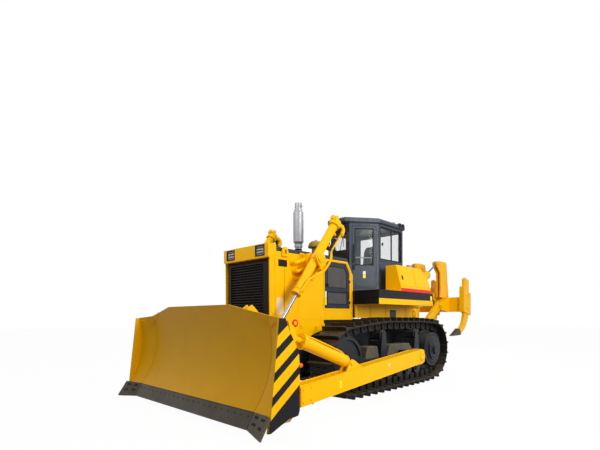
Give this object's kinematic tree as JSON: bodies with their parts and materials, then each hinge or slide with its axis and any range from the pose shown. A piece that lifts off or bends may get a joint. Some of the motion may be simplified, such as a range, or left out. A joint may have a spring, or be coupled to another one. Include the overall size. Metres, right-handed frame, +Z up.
{
  "type": "crawler bulldozer with ripper",
  "caption": "Large crawler bulldozer with a raked straight blade on push arms, a six-sided cab and a raised rear ripper.",
  "frame": {"origin": "on the ground under the middle of the overall length and width, under the lowest points of the tracks", "axes": "+X forward towards the blade, +Y to the operator's left, +Z up"},
  "size_m": [8.65, 4.13, 3.722],
  "materials": {
    "yellow": "gloss",
    "undercarriage": "satin",
    "track_steel": "satin",
    "edge_steel": "satin",
    "grille_black": "satin",
    "cab_slate": "satin",
    "chrome_rod": "polished",
    "stack_silver": "satin",
    "cleaner_brass": "satin",
    "window": "polished",
    "lamp": "polished",
    "seat_cloth": "matte",
    "dark_plastic": "matte",
    "engine_grey": "matte",
    "rubber_pads": "matte",
    "hull_black": "satin"
  },
  "bodies": {
    "tractor": {"arm_trunnions": "undercarriage", "cab_glass": "window", "cab_mounts": "rubber_pads", "cab_roof": "cab_slate", "cab_shell": "cab_slate", "console": "dark_plastic", "engine_block": "engine_grey", "equalizer_bar": "undercarriage", "fenders": "yellow", "final_drives": "undercarriage", "headlamps": "lamp", "hood": "yellow", "hood_cover": "dark_plastic", "idlers": "undercarriage", "lift_yokes": "yellow", "main_frame": "hull_black", "muffler": "stack_silver", "precleaner": "cleaner_brass", "radiator_grille": "grille_black", "radiator_guard": "yellow", "rear_housing": "yellow", "ripper_bracket": "yellow", "seat": "seat_cloth", "skirts": "yellow", "sprockets": "undercarriage", "tanks": "yellow", "tow_clevis": "yellow", "track_frames": "undercarriage", "track_rollers": "undercarriage", "tracks": "track_steel", "work_lamps": "dark_plastic"},
    "blade": {"moldboard": "yellow", "side_plates": "yellow", "blade_back": "yellow", "cutting_edge": "edge_steel", "end_bits": "edge_steel", "push_arms": "yellow", "tilt_cylinder": "yellow", "tilt_rod": "chrome_rod", "tilt_brace": "yellow"},
    "lift_tube_left": {"lift_tube_left": "yellow"},
    "lift_tube_right": {"lift_tube_right": "yellow"},
    "lift_rod_left": {"lift_rod_left": "chrome_rod"},
    "lift_rod_right": {"lift_rod_right": "chrome_rod"},
    "ripper_arms": {"ripper_arms": "yellow"},
    "ripper_beam": {"ripper_beam": "yellow", "ripper_shanks": "yellow", "ripper_teeth": "edge_steel"},
    "ripper_links": {"link_cylinders": "yellow", "link_rods": "chrome_rod"},
    "ripper_hoist_tubes": {"hoist_tubes": "yellow"},
    "ripper_hoist_rods": {"hoist_rods": "chrome_rod"},
    "cab_door_left": {"cab_door_left": "cab_slate", "cab_door_glass_left": "window"},
    "cab_door_right": {"cab_door_right": "cab_slate", "cab_door_glass_right": "window"},
    "engine_door_left": {"engine_door_left": "yellow"},
    "engine_door_right": {"engine_door_right": "yellow"}
  },
  "joints": [
    {"name": "blade_lift", "type": "hinge", "parent": "tractor", "child": "blade", "pos_m": [-0.2, 0, 0.665], "axis": [0, -1, 0], "range_deg": [-7.4, 20.3]},
    {"name": "lift_swing_left", "type": "hinge", "parent": "tractor", "child": "lift_tube_left", "pos_m": [2.11, 0.881, 2.494], "axis": [0, -1, 0], "range_deg": [-9, 24.5]},
    {"name": "lift_stroke_left", "type": "slide", "parent": "lift_tube_left", "child": "lift_rod_left", "axis": [0.5996, 0, -0.8003], "range_m": [-1.05, 0.39]},
    {"name": "lift_swing_right", "type": "hinge", "parent": "tractor", "child": "lift_tube_right", "pos_m": [2.11, -0.881, 2.494], "axis": [0, -1, 0], "range_deg": [-9, 24.5]},
    {"name": "lift_stroke_right", "type": "slide", "parent": "lift_tube_right", "child": "lift_rod_right", "axis": [0.5996, 0, -0.8003], "range_m": [-1.05, 0.39]},
    {"name": "ripper_lift", "type": "hinge", "parent": "tractor", "child": "ripper_arms", "pos_m": [-2.2, 0, 1.03], "axis": [0, 1, 0], "range_deg": [-64.5, 0]},
    {"name": "ripper_beam_pivot", "type": "hinge", "parent": "ripper_arms", "child": "ripper_beam", "pos_m": [-3.4, 0, 1.79], "axis": [0, 1, 0], "range_deg": [0, 64.6]},
    {"name": "ripper_link_swing", "type": "hinge", "parent": "tractor", "child": "ripper_links", "pos_m": [-2.3, 0, 2.24], "axis": [0, 1, 0], "range_deg": [-64.6, 0]},
    {"name": "hoist_swing", "type": "hinge", "parent": "tractor", "child": "ripper_hoist_tubes", "pos_m": [-2.27, 0, 1.96], "axis": [0, 1, 0], "range_deg": [-53.1, 0]},
    {"name": "hoist_stroke", "type": "slide", "parent": "ripper_hoist_tubes", "child": "ripper_hoist_rods", "axis": [-0.9952, 0, 0.098], "range_m": [0, 0.62]},
    {"name": "cab_door_left", "type": "hinge", "parent": "tractor", "child": "cab_door_left", "pos_m": [-0.13, 0.672, 2.78], "axis": [0, 0, 1], "range_deg": [0, 110]},
    {"name": "cab_door_right", "type": "hinge", "parent": "tractor", "child": "cab_door_right", "pos_m": [-0.13, -0.672, 2.78], "axis": [0, 0, -1], "range_deg": [0, 110]},
    {"name": "engine_door_left", "type": "hinge", "parent": "tractor", "child": "engine_door_left", "pos_m": [0.842, 0.63, 2.09], "axis": [0, 0, 1], "range_deg": [0, 90]},
    {"name": "engine_door_right", "type": "hinge", "parent": "tractor", "child": "engine_door_right", "pos_m": [0.842, -0.63, 2.09], "axis": [0, 0, -1], "range_deg": [0, 90]}
  ],
  "couplings": [
    {"joint": "lift_swing_left", "follows": "blade_lift", "ratio": 1.1739},
    {"joint": "lift_stroke_left", "follows": "blade_lift", "m_per_rad": -2.9112},
    {"joint": "lift_swing_right", "follows": "blade_lift", "ratio": 1.1739},
    {"joint": "lift_stroke_right", "follows": "blade_lift", "m_per_rad": -2.9112},
    {"joint": "ripper_beam_pivot", "follows": "ripper_lift", "ratio": -1},
    {"joint": "ripper_link_swing", "follows": "ripper_lift", "ratio": 1},
    {"joint": "hoist_swing", "follows": "ripper_lift", "ratio": 0.8215},
    {"joint": "hoist_stroke", "follows": "ripper_lift", "m_per_rad": -0.5494}
  ]
}
